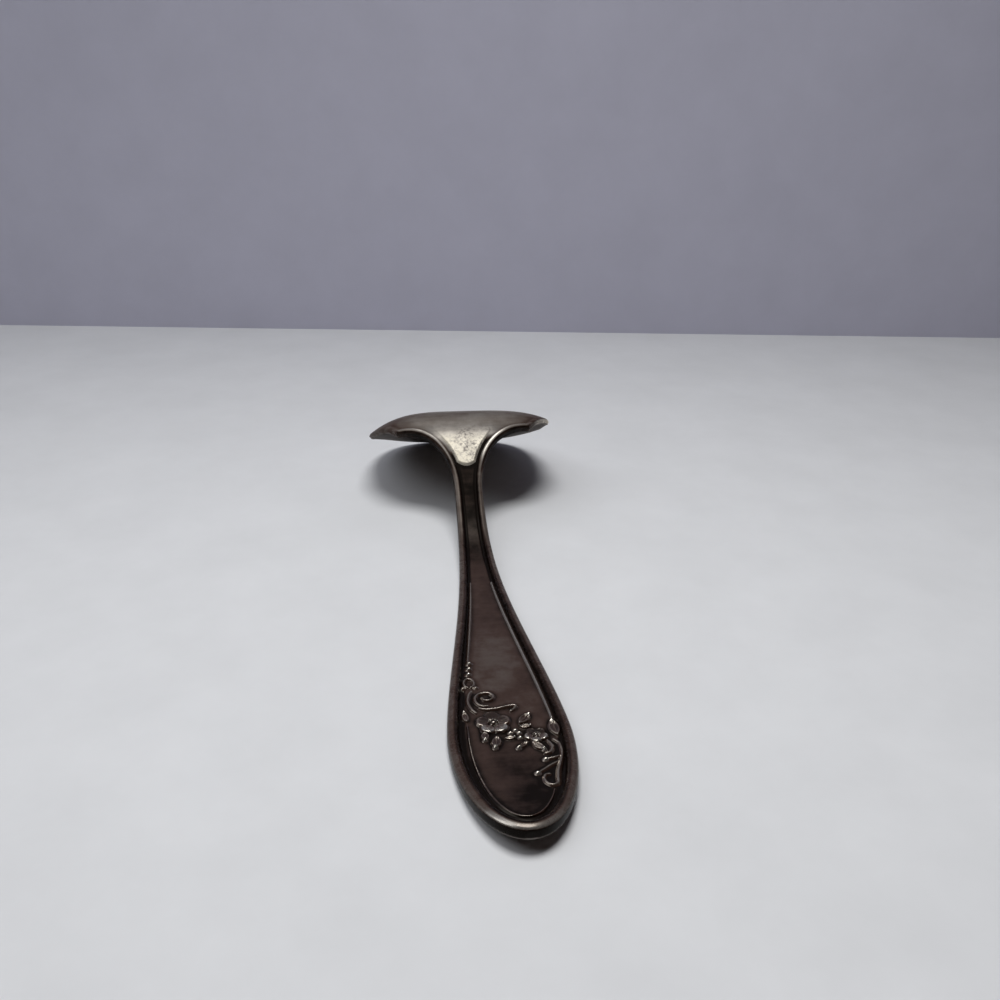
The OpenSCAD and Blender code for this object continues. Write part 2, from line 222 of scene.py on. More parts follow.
def half(s):
    """Half the width at a station."""
    s = np.asarray(s, float)
    end = handle_w / 2 * np.sqrt(np.clip(1 - (1 - s / swell_len) ** 2, 0, 1))
    t = np.clip((s - swell_len) / (waist_s - swell_len), 0, 1) ** taper
    side = stem_w / 2 + (handle_w - stem_w) / 4 * (1 + np.cos(np.pi * t))
    widened = flare((s - waist_s) / (shoulder_s - waist_s))
    neck = stem_w / 2 + (shoulder_w - stem_w) / 2 * widened / flare(1)
    u = np.clip((s - shoulder_s) / (widest_s - shoulder_s), 0, 1)
    corner = shoulder_w / 2 + (blade_w - shoulder_w) / 2 * np.sin(np.pi / 2 * u)
    v = np.clip((s - widest_s) / (length - widest_s), 0, 1)
    cut = 1 - (front_w / blade_w) ** front_power
    front = blade_w / 2 * (1 - cut * v**front_power) ** (1 / front_power)
    parts = [s < swell_len, s < waist_s, s < shoulder_s, s < widest_s]
    return np.select(parts, [end, side, neck, corner], front)


def slope(s):
    """How fast half the width grows along the server."""
    d = 0.02
    return (half(s + d) - half(s - d)) / (2 * d)


def inset(s, d):
    """The place at distance d inside the right edge, square to it."""
    run = np.hypot(1, slope(s))
    return np.stack([half(s) - d / run, s + d * slope(s) / run], -1)


def spaced(start, end, steps, first=1.0, last=1.0):
    """Stations from start to end, closer together at an end whose power is above 1."""
    t = np.linspace(0, 1, steps + 1) ** first
    return start + (end - start) * (1 - (1 - t) ** last)


def ridge_width(s):
    """Width of the border at a station."""
    return np.interp(s, [0, stem_from, waist_s], [border_w, (border_w + ridge_w) / 2, ridge_w])


def ridge_height(s):
    """Height of the border at a station."""
    return np.interp(s, [0, stem_from, waist_s], [border_h, (border_h + ridge_h) / 2, ridge_h])


def right_edge():
    """The right edge from the handle's tip to the middle of the blade's front."""
    a = np.radians(np.linspace(0, 90, 120, endpoint=False))
    end = np.stack([handle_w / 2 * np.sin(a), swell_len * (1 - np.cos(a))], -1)
    stations = np.concatenate([
        spaced(swell_len, waist_s, 180)[:-1],
        spaced(waist_s, shoulder_s, 80, last=1.8)[:-1],
        spaced(shoulder_s, widest_s, 40)[:-1],
        spaced(widest_s, length, 90, last=1.8),
    ])
    side = np.stack([half(stations), stations], -1)
    front = np.stack([np.linspace(front_w / 2, 0, 30)[1:], np.full(29, length)], -1)
    return np.concatenate([end, side, front])


edge = right_edge()
edge_tree = kdtree.KDTree(2 * len(edge))
for i, (x, s) in enumerate(edge):
    edge_tree.insert((x, s, 0), 2 * i)
    edge_tree.insert((-x, s, 0), 2 * i + 1)
edge_tree.balance()


def edge_distance(x, s):
    """Distance from places to the nearest edge."""
    flat = [edge_tree.find((a, b, 0))[2] for a, b in zip(np.ravel(x), np.ravel(s))]
    return np.array(flat).reshape(np.shape(x))


def smooth_line(points, steps):
    """A smooth line through the points."""
    p = np.asarray(points, float)
    p = np.concatenate([[2 * p[0] - p[1]], p, [2 * p[-1] - p[-2]]])
    t = np.linspace(0, 1, steps, endpoint=False)[:, None]
    a, b, c, d = (p[i : len(p) - 3 + i, None] for i in range(4))
    square, cube = 2 * a - 5 * b + 4 * c - d, 3 * b - a - 3 * c + d
    curve = 0.5 * (2 * b + (c - a) * t + square * t**2 + cube * t**3)
    return np.concatenate([curve.reshape(-1, p.shape[1]), p[-2:-1]])


# Struck relief, as heights over the upper face. Each form is below 0 outside its own outline.

# How deep the raised forms' feet are sunk in the plate
SINK = -0.12

# The border's upper face: shares of its width inside the edge, and of its height. Its foot: the same
# shares of its width, and heights.
CROWN = [
    (0.03, 0.3), (0.12, 0.58), (0.28, 0.8), (0.46, 0.95),
    (0.62, 1), (0.76, 0.93), (0.88, 0.64), (0.98, 0.2),
]
FOOT = [(1.06, -0.12), (1.16, -0.3)]
ROLL = smooth_line([(-0.02, -0.4), (0, 0)] + CROWN + FOOT, 5)


def near(points, x, s):
    """Distance from (x, s) to the nearest of a line's points, and that point's share of the line."""
    gap = np.hypot(x[..., None] - points[:, 0], s[..., None] - points[:, 1])
    nearest = gap.argmin(-1)
    return gap.min(-1), nearest / (len(points) - 1)


def rounded(distance, reach, rise):
    """A soft ridge: full height at distance 0, gone at its reach."""
    q = distance / reach
    return np.where(q < 1, rise * np.cos(np.pi / 2 * np.minimum(q, 1)) ** 1.4, (1 - q) * reach * 0.7)


def strand(points, width, rise):
    """A raised line that swells a little in its middle and thins out at its ends."""
    def form(x, s):
        distance, t = near(points, x, s)
        swell = 0.55 + 0.45 * np.sin(np.pi * np.clip(t, 0.02, 0.98)) ** 0.5
        return rounded(distance, width / 2 * swell * 1.25, rise * (0.6 + 0.4 * swell))
    return form


def dot(place, r, rise):
    """A round bead."""
    def form(x, s):
        return rounded(np.hypot(x - place[0], s - place[1]), r * 1.15, rise)
    return form


def local(x, s, place, turn):
    """Distances along and across a form that is turned by an angle."""
    a = math.radians(turn)
    u, v = x - place[0], s - place[1]
    return u * math.cos(a) + v * math.sin(a), v * math.cos(a) - u * math.sin(a)


def petal(middle, reach, turn, rise):
    """A broad petal that points away from its blossom's middle and rises to its rim."""
    centre, half_long, half_wide = 0.62 * reach, 0.42 * reach, 0.48 * reach
    rim, crease_w = 1.06, 0.05 * reach

    def form(x, s):
        u, v = local(x, s, middle, turn)
        q = np.hypot((u - centre) / half_long, v / half_wide)
        outward = 0.35 + 0.65 * ramp(u / reach)
        dish = ramp((rim - q) / 0.42) * outward - 0.16 * ramp((0.8 - q) / 0.5)
        crease = 0.1 * np.exp(-((v / crease_w) ** 2)) * ramp((0.7 - q) / 0.3)
        return np.where(q < rim, rise * (dish + crease), (rim - q) * 0.4 * reach)
    return form


def leaf(place, along, wide, turn):
    """A pointed leaf with a raised rim and midrib, highest at its point."""
    def form(x, s):
        u, v = local(x, s, place, turn)
        u, v = u / (along / 2), np.abs(v / (wide / 2))
        inside = 1.08 - u**2 - v
        blade = ramp(inside / 0.42)
        rib = 0.8 * np.exp(-((v / 0.16) ** 2))
        hollow = ramp((inside - 0.26) / 0.4) * (1 - rib)
        point = 0.42 * np.exp(-(((u - 0.78) / 0.26) ** 2) - (v / 0.45) ** 2)
        return np.where(inside > 0, leaf_h * (0.8 * blade - 0.5 * hollow + point), inside * 0.4 * wide)
    return form


def sprig(x, y):
    """A place in the spray, from its middle."""
    return np.array([x, spray_s + y])


def stalk(*places):
    """A curled stalk through places in the spray."""
    return strand(smooth_line([sprig(*p) for p in places], 12), 1.2 * strand_w, 0.8 * strand_h)


def blossom(middle, reach, turn):
    """Five cupped petals round a beaded middle, the nearer to the handle's tip the higher."""
    forms = [dot(middle, 0.17 * reach, 0.6 * blossom_h)]
    for i in range(5):
        a = turn + 72 * i
        way = np.array([math.cos(math.radians(a)), math.sin(math.radians(a))])
        forms.append(petal(middle, reach, a, (0.55 - 0.2 * way[1]) * blossom_h))
        forms.append(dot(middle + 0.24 * reach * way, 0.07 * reach, 0.6 * blossom_h))
    return forms


def thread_in(s, gap):
    """How far inside the edge a fine line runs."""
    return ridge_width(s) + thread_w / 2 + np.interp(s, [swell_len, stem_from], [gap, thread_gap_stem])


def track(start, end, gap):
    """A fine line's places along the right side."""
    s = np.linspace(start, end, int(abs(end - start) / 0.15) + 2)
    return inset(s, thread_in(s, gap))


def turn_of_thread(a_from, a_to):
    """The end line's places round the handle's tip, between two angles from the tip."""
    a = np.radians(np.linspace(a_from, a_to, 160))
    d = thread_in(swell_len, end_gap)
    return np.stack([(handle_w / 2 - d) * np.sin(a), swell_len - (swell_len - d) * np.cos(a)], -1)


def left_side(points):
    """Places mirrored to the left side."""
    return points * np.array([-1, 1])


bead_s = ring_s + ring_r + strand_w / 2 + bead_gap + bead_r
bead_stations = bead_s + bead_pitch * np.arange(bead_count)
ring_at = left_side(inset(ring_s, thread_in(ring_s, thread_gap))) + np.array([0.4, 0])
ring_angles = np.radians(np.linspace(-75, 255, 60))
ring_line = ring_at + ring_r * np.stack([0.9 * np.cos(ring_angles), 1.25 * np.sin(ring_angles)], -1)
left_line = left_side(track(bead_stations[-1] + 0.85, stem_from, thread_gap))
right_line = track(spray_s + 2, stem_from, right_gap)
end_line = np.concatenate([left_side(track(spray_s + 1.1, swell_len, end_gap)), turn_of_thread(-90, 46)])

MIDDLES = {"large_blossom": sprig(-2.4, 1.3), "small_blossom": sprig(4.1, -2.4)}
LEAF_TIPS = [sprig(-4.2, -2.95), sprig(-2.77, -4.95), sprig(0.9, -5.35), sprig(4.95, -6.1)]
KNOBS = [sprig(4.7, -8.55), sprig(2.95, -11.8)]
RUBBED_TIPS = np.array(LEAF_TIPS + KNOBS)

FORMS = {
    "thread_left": [strand(left_line, thread_w, thread_h)],
    "thread_right": [strand(right_line, thread_w, thread_h)],
    "thread_end": [strand(end_line, thread_w, thread_h)],
    "beads": [
        dot(left_side(inset(s + 0.5, thread_in(s, thread_gap) + 0.3)), bead_r, 0.9 * bead_r)
        for s in bead_stations
    ],
    "bow": [strand(ring_line, strand_w, 0.75 * strand_h)] + [
        dot(ring_at + np.array([side * 1.1, -1.3]), 1.2 * knob_r, 0.7 * strand_h) for side in (-1, 1)
    ],
    "large_blossom": blossom(MIDDLES["large_blossom"], reach=2.95, turn=20),
    "small_blossom": blossom(MIDDLES["small_blossom"], reach=2, turn=50),
    "berries": [
        dot(place, 1.2 * berry_r, 0.5 * blossom_h)
        for place in (sprig(0.05, -1.5), sprig(0.95, -0.85), sprig(1.5, -1.6), sprig(1.5, -2.75))
    ],
    "upper_leaves": [
        leaf(sprig(2.8, 1.9), 3.4, 1.7, 49),
        leaf(sprig(2.7, -0.05), 2.2, 1, 3),
        leaf(sprig(7.35, -0.8), 4.4, 2, 97),
        leaf(sprig(-6.85, 3.2), 3, 1.2, 97),
    ],
    "lower_leaves": [
        leaf(sprig(-4.1, -1.95), 2.4, 1.4, -93),
        leaf(sprig(-2.45, -3.6), 3.2, 1.75, -103),
        leaf(sprig(-0.15, -2.75), 2, 0.8, 2),
        leaf(sprig(1.7, -4.7), 2.4, 0.9, -142),
        leaf(sprig(4.1, -5.15), 3, 1.5, -48),
    ] + [dot(tip, 0.48, 0.92 * leaf_h) for tip in LEAF_TIPS],
    "upper_scrolls": [
        stalk(
            (-3.6, 8.1), (-3.3, 7.45), (-2.7, 7.2), (-2, 7.55), (-1.65, 8.3), (-2.1, 9.1), (-3, 9.35),
            (-4.1, 9.05), (-4.75, 8.2), (-4.8, 7.2), (-4.3, 6.2), (-3.6, 5.7), (-2.8, 5.8),
        ),
        stalk((-5.2, 10), (-5.8, 8.9), (-6.1, 7), (-5.65, 5.2), (-5, 4.1)),
        stalk(
            (-4.35, 5.3), (-3.6, 4.95), (-2.3, 4.85), (-0.8, 5.1), (0.6, 5.5), (1.8, 5.5), (1.5, 4.7),
            (0.8, 4.1),
        ),
    ],
    "lower_scrolls": [
        stalk((5.7, -3.9), (6.25, -5.4), (5.75, -6.8), (4.8, -7.1)),
        stalk(
            (6.7, -3.7), (7.5, -4.9), (7.55, -7), (6.95, -9.2), (6.2, -11.4), (5.85, -13.2), (5.6, -14.5),
            (4.6, -14.9), (3.75, -13.8), (3.95, -12.5), (4.75, -12.2),
        ),
        stalk((7.3, -7.9), (6.55, -8.15), (5.9, -8.35), (4.7, -8.55)),
        dot(KNOBS[0], 1.35 * knob_r, strand_h),
        stalk((6.95, -9.1), (6.15, -9.6), (5.3, -10.1), (4.4, -10.8), (2.95, -11.8)),
        dot(KNOBS[1], 1.35 * knob_r, strand_h),
    ],
}


def tongue(x, s):
    """The heel: a raised tongue with a round end that dies out up the neck."""
    start = tongue_s + tongue_round * x * x
    groove = np.where(np.asarray(x) > 0, groove_right, groove_left)
    room = half(s) - (ridge_w + groove) * np.hypot(1, slope(s)) - np.abs(x)
    fade = ramp((shoulder_s + 1.5 - s) / tongue_fade)
    inside = np.minimum((s - start) / 0.6, room / 0.7)
    return np.where(inside > 0, tongue_h * ramp(inside) * fade - 0.02, inside * 0.3)


FORMS["heel"] = [tongue]


def field(distance, s):
    """The plate's face between the borders: a cove beside the border, level beyond it."""
    q = (distance - cove_at * ridge_width(s)) / (cove_half * ridge_width(s))
    cove = np.where(np.abs(q) < 1, (1 - np.minimum(q * q, 1)) ** 2, 0)
    return -cove_d * cove * ramp((waist_s + 8 - s) / 10)


# The relief as one map, and how far each place on it lies in a hollow or stands proud

PITCH = 0.1
MARGIN = 1.5
map_x = np.arange(-shoulder_w / 2 - MARGIN, shoulder_w / 2 + MARGIN, PITCH)
map_s = np.arange(-1, shoulder_s + 6, PITCH)


def window(low, high):
    """The map's rows and columns between two corners."""
    columns = np.flatnonzero((map_x > low[0]) & (map_x < high[0]))
    rows = np.flatnonzero((map_s > low[1]) & (map_s < high[1]))
    return slice(rows[0], rows[-1] + 1), slice(columns[0], columns[-1] + 1)


def node_window(node, margin=0.6):
    """The corners of a node's box on the face, with a margin round it."""
    low, high = (np.array(c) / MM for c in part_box(node))
    shift = np.array([0, length / 2])
    return low[:2] + shift - margin, high[:2] + shift + margin


def highest(forms, x, s):
    """The height of the highest form at each place."""
    return np.max([f(x, s) for f in forms], axis=0)


def blurred(values, reach):
    """The values averaged over about that reach, in millimetres."""
    n = int(2.5 * reach / PITCH)
    weights = np.exp(-0.5 * (np.arange(-n, n + 1) * PITCH / reach) ** 2)
    for axis in (0, 1):
        rolled = sum(w * np.roll(values, k, axis) for k, w in zip(range(-n, n + 1), weights))
        values = rolled / weights.sum()
    return values


def relief_map():
    """The height of all the relief over the upper face, from the tip to the shoulders."""
    x, s = np.meshgrid(map_x, map_s)
    distance = edge_distance(x, s)
    roll = np.interp(distance / ridge_width(s), ROLL[:, 0], ROLL[:, 1])
    border = np.where(distance < 1.15 * ridge_width(s), roll * ridge_height(s), -1)
    heights = np.maximum(field(distance, s), border)
    heights[(np.abs(x) > half(s)) | (s < 0)] = -0.4
    for node, forms in FORMS.items():
        rows, columns = window(*node_window(node))
        part = heights[rows, columns]
        np.maximum(part, highest(forms, x[rows, columns], s[rows, columns]), out=part)
    return heights


relief = relief_map()
hollow_map = np.clip((blurred(relief, 0.45) - relief) / 0.22, 0, 1)
hollow_map *= 1 - 0.8 * ease(map_s, shoulder_s - 5, shoulder_s - 1)[:, None]
proud_map = np.clip((relief - blurred(relief, 0.3) - 0.05) / 0.14, 0, 1)


def read_map(values, x, s):
    """A map's values at places between its points."""
    column = np.clip((x - map_x[0]) / PITCH, 0, len(map_x) - 1.001)
    row = np.clip((s - map_s[0]) / PITCH, 0, len(map_s) - 1.001)
    i, j = column.astype(int), row.astype(int)
    a, b = column - i, row - j
    upper = values[j, i] * (1 - a) + values[j, i + 1] * a
    lower = values[j + 1, i] * (1 - a) + values[j + 1, i + 1] * a
    return upper * (1 - b) + lower * b


# Wear, tarnish with some painted shade, and roughness by place. Tarnish runs from 0 for bright plate to
# 1 for black, and a place on the neck and hood is given by how far it lies past the shoulders.

PLATES = ("handle", "stem", "neck", "blade")
BLACKENED = 0.97
UNDERSIDE = 0.66

# Stations along each border, and the tarnish of its crest there
CREST = {
    "handle_border": ([0, 6, 16, stem_from], [0.6, 0.72, 0.76, 0.75]),
    "stem_ridges": ([stem_from, waist_s], [0.72, 0.7]),
    "shoulder_ridges": (
        [waist_s, shoulder_s - 10, shoulder_s - 7, shoulder_s - 4, shoulder_s, shoulder_s + 3],
        [0.7, 0.64, 0.54, 0.5, 0.56, 0.66],
    ),
}

# The ornaments' tarnish, and the heights above which they are rubbed bright
SOILED = {
    "thread_left": 0.78, "thread_right": 0.54, "thread_end": 1.02,
    "beads": 0.72, "bow": 0.8,
    "large_blossom": 0.8, "small_blossom": 0.8, "berries": 0.62,
    "upper_leaves": 0.81, "lower_leaves": 0.81,
    "upper_scrolls": 0.79, "lower_scrolls": 0.79,
}
RUBBED = dict.fromkeys(SOILED, 0.34)
RUBBED.update(large_blossom=0.26, small_blossom=0.26, berries=0.12, thread_left=0.28, thread_right=0.28)


def wear(x, s):
    """How far a place is rubbed down to bright, pitted metal: the tongue and the hood just above it."""
    along = ease(s, tongue_s, tongue_s + 1) * ease(s - shoulder_s, 0.6, -3.4)
    room = half(s) - (ridge_w + 0.1) * np.hypot(1, slope(s)) - np.abs(x)
    return along * ease(room, 0, 0.8) * ease(np.abs(x), 11, 4)


def handle_tarnish(x, s):
    """Brown, lighter in the middle and darker at the tip, and black outside the fine lines."""
    lighter_middle = 0.07 * np.exp(-(((s - 44) / 8) ** 2) - ((x + 1) / 4.5) ** 2)
    # Painted shade: the field darkens towards the tip, and more on its right side there.
    tip_shade = 0.09 * ease(x, -3, 2) * ease(s, 20, 12)
    plate = 0.8 + 0.11 * ease(s, 25, 13) + 0.02 * ease(s, 58, 70) + tip_shade - lighter_middle
    limit = np.where(x < 0, thread_in(s, thread_gap), thread_in(s, right_gap))
    return blend(plate, 0.98, ease(limit - edge_distance(x, s), -0.2, 0.4))


def hood_tarnish(x, s):
    """Dull and even, but rubbed bright just above the tongue."""
    rubbed = 0.36 * ease(s - shoulder_s, 1.2, -2.8) * ease(np.abs(x), 10.5, 4.5)
    return 0.62 + 0.12 * ease(np.abs(x), 9, 16) - rubbed


def neck_and_blade_tarnish(x, s, n):
    """The hood's, but black beside the tongue and bright on the edge of the right corner."""
    past = s - shoulder_s
    right_corner = 0.2 * ease(x, 13, 16) + 0.4 * ease(x, 16, 19)
    edge_rub = right_corner * ease(-n, 0.04, 0.19) * ease(past, 0, 3)
    hood = hood_tarnish(x, s) + 0.05 * ease(np.abs(x), 14, 18) - edge_rub
    clean_from = np.where(x < 0, -5.2, -1.5)
    return blend(hood, BLACKENED, ease(past, clean_from, clean_from - 2.5))


def heel_tarnish(x, s):
    """Bright, turning into the hood's."""
    return blend(0.1, hood_tarnish(x, s), ease(s - shoulder_s, -4.4, -0.8))


def border_tarnish(node, x, s, n):
    """Rubbed along the crest, most on the right shoulder and left of the tip, and black beside it."""
    past = s - shoulder_s
    share = edge_distance(x, s) / ridge_width(s)
    rubbed_right = 0.32 * ease(x, 0, 2) * ease(past, -9, -6) * ease(past, -1, -3)
    rubbed_tip = 0.3 * ease(x, -1.5, -4) * ease(s, 6, 2)
    crest = np.interp(s, *CREST[node]) - rubbed_right - rubbed_tip
    inner_from = 0.46 - 0.13 * ease(s, 9, 3)
    inner = ease(share, inner_from, inner_from + 0.26) * ease(past, -2, -6) * (1 - 2 * rubbed_right)
    outer = ease(share, 0.46, 0.24) * ease(past, -13, -8)
    # The outer wall is black: tarnish on the handle's border, and painted shade on the ridges near the
    # shoulders, for the dark floor they reflect.
    wall = np.maximum(outer, ease(n, 0.36, 0.1)) * (1 - 0.9 * ease(past, 0, 1.5))
    low_edge = 0.4 * ease(n + thickness(s), 0.5, 0.25) * ease(s, swell_len, swell_len - 10)
    return blend(blend(crest, BLACKENED, inner), 1, wall) - low_edge


def ornament_tarnish(node, x, s, n):
    """Brown, rubbed bright on top, and at the tips of the lower leaves and stalks."""
    level = SOILED[node] - 0.4 * ease(n, RUBBED[node], RUBBED[node] + 0.16)
    # Painted shade: the half of each blossom that lies away from the handle's tip is darkened, so its far
    # petals stay dim.
    if node in MIDDLES:
        level = level + 0.13 * ease(s - MIDDLES[node][1], -0.5, 0.7)
    if node in ("lower_leaves", "lower_scrolls"):
        level = level - 0.45 * np.exp(-((near(RUBBED_TIPS, x, s)[0] / 0.45) ** 2))
    return level


def tarnish(node, x, s, n):
    """How dark a place is before its finer marks."""
    if node == "handle":
        return handle_tarnish(x, s)
    if node == "stem":
        return 0.82 + 0.13 * ease(s, stem_from, stem_from + 18)
    if node in ("neck", "blade"):
        return neck_and_blade_tarnish(x, s, n)
    if node == "heel":
        return heel_tarnish(x, s)
    if node in CREST:
        return border_tarnish(node, x, s, n)
    return ornament_tarnish(node, x, s, n)


def under(node, s, n):
    """How far a place lies on the plain, evenly tarnished underside."""
    if node not in PLATES:
        return np.zeros(np.shape(s))
    return ease(-n / thickness(s), 0.55, 0.85)


def matt(node, s):
    """Roughness: satin on the handle, matt where the neck and hood are dirty or rubbed."""
    if node in SOILED:
        return np.full(np.shape(s), 0.18)
    neck = ease(s, waist_s - 15, waist_s - 1)
    if node in CREST:
        return 0.28 + 0.2 * neck
    return 0.32 + 0.4 * neck - 0.18 * ease(s - shoulder_s, -1, 2)


# Meshes

def add_object(name, data):
    obj = bpy.data.objects.new(name, data)
    bpy.context.scene.collection.objects.link(obj)
    return obj


def piece(node, points, faces, x, s, n, sharp=()):
    """Make a closed mesh that stands for a node, with its places' wear, tarnish and painted shade on its
    vertices.
    """
    mesh = bpy.data.meshes.new(node + "_metal")
    mesh.from_pydata(points.reshape(-1, 3).tolist(), [], faces)
    above = 1 - under(node, s, n)
    marks = {
        "hollow": above * read_map(hollow_map, x, s),
        "proud": above * read_map(proud_map, x, s),
        "tarnish": blend(UNDERSIDE, tarnish(node, x, s, n), above),
        "wear": above * wear(x, s),
        "matt": matt(node, s),
    }
    for name, values in marks.items():
        mark = mesh.attributes.new(name, "FLOAT", "POINT")
        mark.data.foreach_set("value", values.astype(np.float32))
    bm = bmesh.new()
    bm.from_mesh(mesh)
    bmesh.ops.recalc_face_normals(bm, faces=bm.faces)
    for mesh_face in bm.faces:
        mesh_face.smooth = True
    bm.faces.ensure_lookup_table()
    for i in sharp:
        for mesh_edge in bm.faces[i].edges:
            mesh_edge.smooth = False
    bm.to_mesh(mesh)
    bm.free()
    obj = add_object(node + "_metal", mesh)
    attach(obj, "root")
    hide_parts(node)
    slot = next(p["material_slot"] for p in frame["record"]["subparts"] if p["node"] == node)
    mesh.materials.append(MATERIALS[slot])


def ring_faces(rings, count, first=0):
    """Faces that join closed rings of points in order, and close both ends."""
    r, i = np.meshgrid(np.arange(rings - 1), np.arange(count), indexing="ij")
    a, b = first + r * count + i, first + r * count + (i + 1) % count
    quads = np.stack([a, b, b + count, a + count], -1).reshape(-1, 4).tolist()
    start = list(range(first, first + count))
    return quads + [start[::-1], [v + (rings - 1) * count for v in start]]


def loft(node, bundles):
    """Make a piece of one or more rows of rings, each given as places x and s and heights n."""
    points, faces, places, caps = [], [], [], []
    first = 0
    for x, s, n in bundles:
        x, s, n = np.broadcast_arrays(x, s, n)
        points.append(on_face(x, s, n).reshape(-1, 3))
        faces += ring_faces(x.shape[0], x.shape[1], first)
        caps += [len(faces) - 2, len(faces) - 1]
        first += x.size
        places.append(np.stack([np.ravel(v) for v in (x, s, n)]))
    piece(node, np.concatenate(points), faces, *np.concatenate(places, 1), caps)


# Spacing of the raised forms' points
PAD_PITCH = 0.08


def pads(node):
    """Make a piece of raised forms, each closed below, with its foot sunk in the plate."""
    low, high = node_window(node)
    x, s = np.meshgrid(np.arange(low[0], high[0], PAD_PITCH), np.arange(low[1], high[1], PAD_PITCH))
    n = highest(FORMS[node], x, s)
    corners = [n[:-1, :-1], n[:-1, 1:], n[1:, 1:], n[1:, :-1]]
    cells = np.pad(np.max(corners, axis=0) > SINK, 1)
    index = np.arange(n.size).reshape(n.shape)
    quads = np.stack([index[:-1, :-1], index[:-1, 1:], index[1:, 1:], index[1:, :-1]], -1)
    inner = cells[1:-1, 1:-1]
    top = quads[inner]
    neighbours = [cells[:-2, 1:-1], cells[1:-1, 2:], cells[2:, 1:-1], cells[1:-1, :-2]]
    walls = []
    for k, beside in enumerate(neighbours):
        rim = quads[inner & ~beside]
        a, b = rim[:, k], rim[:, (k + 1) % 4]
        walls.append(np.stack([b, a, a + n.size, b + n.size], -1))
    faces = np.concatenate([top, top[:, ::-1] + n.size] + walls)
    used, faces = np.unique(faces, return_inverse=True)
    x2, s2 = np.tile(x.ravel(), 2)[used], np.tile(s.ravel(), 2)[used]
    n2 = np.concatenate([np.maximum(n, SINK).ravel(), np.full(n.size, 2 * SINK)])[used]
    piece(node, on_face(x2, s2, n2), faces.reshape(-1, 4).tolist(), x2, s2, n2)


# How far inside the edge the plates end, how far their undersides lie inside the border's, and half the
# width at which they end at the tip
EDGE_COVER = 0.8
UNDER_COVER = 0.06
TIP_HALF = 0.02


def plate_rings(stations, columns, columns_below):
    """Rings across the plate, a little inside its edge, where the border covers it."""
    w = half(stations) - EDGE_COVER * np.hypot(1, slope(stations))
    if stations[0] < swell_len:
        end = 1 - np.clip((swell_len - stations) / (swell_len - EDGE_COVER), 0, 1) ** 2
        w = np.where(stations < swell_len, (handle_w / 2 - EDGE_COVER) * np.sqrt(end) + TIP_HALF, w)
    c = np.linspace(-1, 1, columns)
    c_below = np.linspace(1, -1, columns_below)
    x = np.concatenate([w[:, None] * c, w[:, None] * c_below], 1)
    s = np.broadcast_to(stations[:, None], x.shape)
    top = field(edge_distance(x[:, :columns], s[:, :columns]), s[:, :columns])
    below = np.broadcast_to(UNDER_COVER - thickness(stations)[:, None], (len(stations), columns_below))
    return x, s, np.concatenate([top, below], 1)


def make_handle():
    stations = np.concatenate([
        spaced(EDGE_COVER, swell_len, 120, first=1.6)[:-1],
        spaced(swell_len, stem_from, 180),
    ])
    loft("handle", [plate_rings(stations, 141, 31)])


def make_stem():
    loft("stem", [plate_rings(spaced(stem_from, waist_s, 90), 61, 21)])


def make_neck():
    loft("neck", [plate_rings(spaced(waist_s, shoulder_s, 60, last=1.4), 81, 41)])


def make_blade():
    """The hooded blade, with an edge rounded over its whole thickness."""
    stations = np.concatenate([
        spaced(shoulder_s, widest_s, 40, first=1.6)[:-1],
        spaced(widest_s, length, 110, last=2.2),
    ])
    c = np.sin(np.pi / 2 * np.linspace(-1, 1, 121))
    x = half(stations)[:, None] * c
    s = np.broadcast_to(stations[:, None], x.shape)
    t = thickness(s)
    distance = np.minimum(edge_distance(x, s), t / 2)
    bulge = np.sqrt(np.maximum(0, (t / 2) ** 2 - (t / 2 - distance) ** 2))
    top, below = bulge - t / 2, -bulge - t / 2
    loft("blade", [(
        np.concatenate([x, x[:, -2:0:-1]], 1),
        np.concatenate([s, s[:, -2:0:-1]], 1),
        np.concatenate([top, below[:, -2:0:-1]], 1),
    )])


def edge_section(s, fade):
    """Distance inside the edge and height, round the border's section at one station."""
    t, w, h = thickness(s), ridge_width(s), ridge_height(s)
    # From the underside up the outer wall
    wall = [(1.0, -t), (0.5, -t), (0.2, 0.1 - t), (0.06, 0.35 - t), (0, 0.7 - t), (0, -0.3), (0.01, 0)]
    crown = [(a * w, b * h) for a, b in CROWN]
    foot = [(a * w, b) for a, b in FOOT]
    ridge = smooth_line(wall + crown + foot, 4)
    a = np.linspace(-1, 1, len(ridge)) * np.pi / 2
    plain = t / 2 * np.stack([1 - np.cos(a), np.sin(a) - 1], -1) + np.array([0.04, 0])
    return ridge * (1 - fade) + plain * fade


def edge_strip(path, fades):
    """Rings of the border along a path on the right edge, in the path's order."""
    way = np.gradient(path, axis=0)
    way /= np.hypot(way[:, 0], way[:, 1])[:, None]
    out = np.stack([way[:, 1], -way[:, 0]], -1)
    section = np.stack([edge_section(s, f) for s, f in zip(path[:, 1], fades)])
    x = path[:, :1] - section[..., 0] * out[:, :1]
    s = path[:, 1:] - section[..., 0] * out[:, 1:]
    return x, s, section[..., 1]


def both_sides(strip):
    """A strip and its mirror image."""
    x, s, n = strip
    return [(x, s, n), (-x, s, n)]


def edge_path(start, end):
    """The right edge's points between two stations."""
    return edge[(edge[:, 1] >= start - 1e-6) & (edge[:, 1] <= end + 1e-6) & (edge[:, 0] > 0)]


def station_on_edge(s):
    return np.array([[half(s), s]])


def make_handle_border():
    right = np.concatenate([edge_path(0, stem_from - 0.01), station_on_edge(stem_from)])
    whole = np.concatenate([left_side(right)[::-1], right])
    loft("handle_border", [edge_strip(whole, np.zeros(len(whole)))])


def make_stem_ridges():
    path = np.concatenate([
        station_on_edge(stem_from),
        edge_path(stem_from + 0.01, waist_s - 0.01),
        station_on_edge(waist_s),
    ])
    loft("stem_ridges", both_sides(edge_strip(path, np.zeros(len(path)))))


